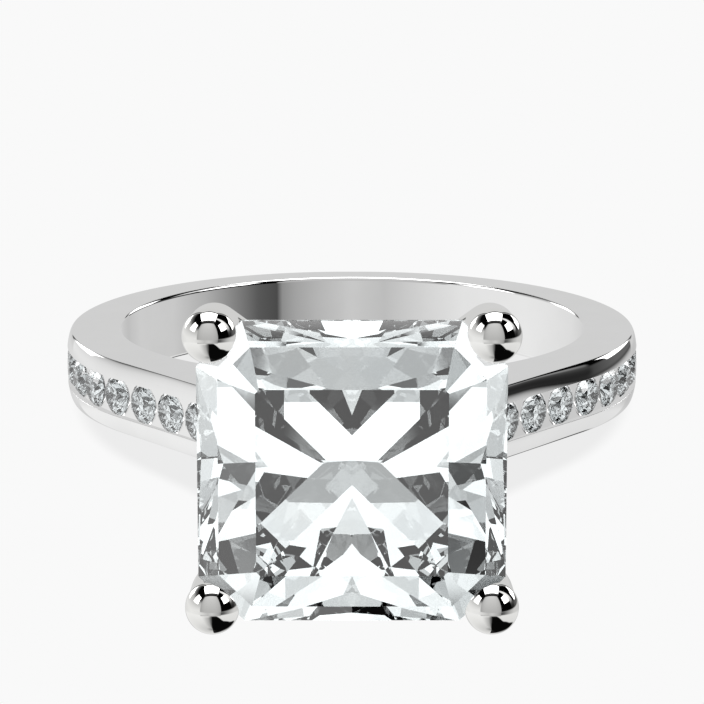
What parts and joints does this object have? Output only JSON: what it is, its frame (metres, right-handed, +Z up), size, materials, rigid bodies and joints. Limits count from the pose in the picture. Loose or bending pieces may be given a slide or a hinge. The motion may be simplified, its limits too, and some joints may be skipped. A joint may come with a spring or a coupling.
{
  "type": "channel set ring with a square centre stone",
  "caption": "Finger ring of polished white metal: a large square stone in a ball-tipped prong head, and a channel of round stones down each side of the band.",
  "frame": {"origin": "On the surface that the ring lies on, under the middle of its box.", "axes": "+Z is up. The head faces -Y and leans up a little, as the ring lies on its two lower prongs and the back edge of its band. +X is to the right of one who looks at the head."},
  "size_m": [0.0202, 0.0272, 0.0102],
  "materials": {
    "white_metal": "polished",
    "clear_stone": "polished facets"
  },
  "bodies": {
    "root": {"ring_setting": "white_metal", "centre_stone": "clear_stone", "channel_stone_left_1": "clear_stone", "channel_stone_left_2": "clear_stone", "channel_stone_left_3": "clear_stone", "channel_stone_left_4": "clear_stone", "channel_stone_left_5": "clear_stone", "channel_stone_left_6": "clear_stone", "channel_stone_left_7": "clear_stone", "channel_stone_left_8": "clear_stone", "channel_stone_left_9": "clear_stone", "channel_stone_right_1": "clear_stone", "channel_stone_right_2": "clear_stone", "channel_stone_right_3": "clear_stone", "channel_stone_right_4": "clear_stone", "channel_stone_right_5": "clear_stone", "channel_stone_right_6": "clear_stone", "channel_stone_right_7": "clear_stone", "channel_stone_right_8": "clear_stone", "channel_stone_right_9": "clear_stone"}
  },
  "joints": []
}
